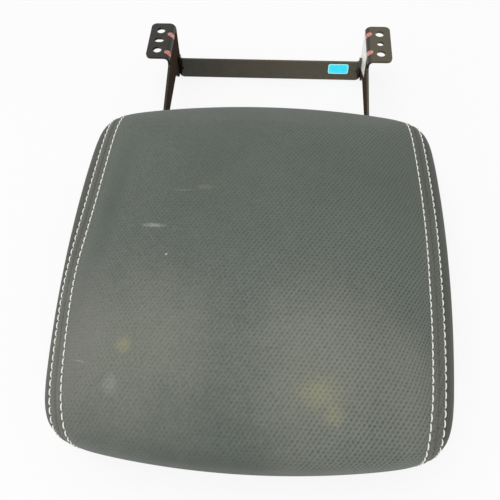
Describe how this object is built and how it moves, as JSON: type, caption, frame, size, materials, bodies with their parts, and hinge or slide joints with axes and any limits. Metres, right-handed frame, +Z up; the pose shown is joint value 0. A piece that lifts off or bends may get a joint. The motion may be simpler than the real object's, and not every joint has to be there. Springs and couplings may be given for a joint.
{
  "type": "tip-up seat base",
  "caption": "Upholstered tip-up seat base hinged on a black pressed steel bracket with two drilled outward ears and a flat crossbar.",
  "frame": {"origin": "centre of the four ear bolt holes, on the ears' top face", "axes": "+X to the right across the seat, +Y from the cushion towards the bracket, +Z up and square to the ears"},
  "size_m": [0.3896, 0.5715, 0.113],
  "materials": {
    "bracket_paint": "glossy black paint",
    "arm_paint": "satin black paint",
    "pan_paint": "dull grey-black dip coat",
    "zinc": "zinc plated",
    "stop_rubber": "matt",
    "bush_nylon": "smooth nylon",
    "label_film": "plain printed film",
    "foam": "moulded foam",
    "centre_fabric": "woven, small hexagon pattern",
    "side_fabric": "woven, small hexagon pattern",
    "skirt_felt": "non-woven felt",
    "base_plastic": "fine grained",
    "strip_plastic": "smooth",
    "screw_black": "black"
  },
  "bodies": {
    "bracket": {"side_plate_left": "bracket_paint", "side_plate_right": "bracket_paint", "crossbar": "bracket_paint", "weld_beads": "bracket_paint", "label": "label_film", "pivot_bolts": "zinc", "pivot_nuts": "zinc", "pivot_washers": "zinc", "stop_pins": "zinc", "stop_buffers": "stop_rubber"},
    "seat": {"hinge_arm_left": "arm_paint", "hinge_arm_right": "arm_paint", "pivot_bushes": "bush_nylon", "arm_tube": "arm_paint", "seat_pan": "pan_paint", "pan_studs": "zinc", "arm_nuts": "zinc", "foam_pad": "foam", "cover_centre": "centre_fabric", "cover_side_left": "side_fabric", "cover_side_right": "side_fabric", "hem_skirt": "skirt_felt", "hem_strip": "strip_plastic", "base_cover": "base_plastic", "base_screws": "screw_black"}
  },
  "joints": [
    {"name": "seat_tip", "type": "hinge", "parent": "bracket", "child": "seat", "pos_m": [0, -0.11, -0.043], "axis": [-1, 0, 0], "range_deg": [0, 85]}
  ]
}
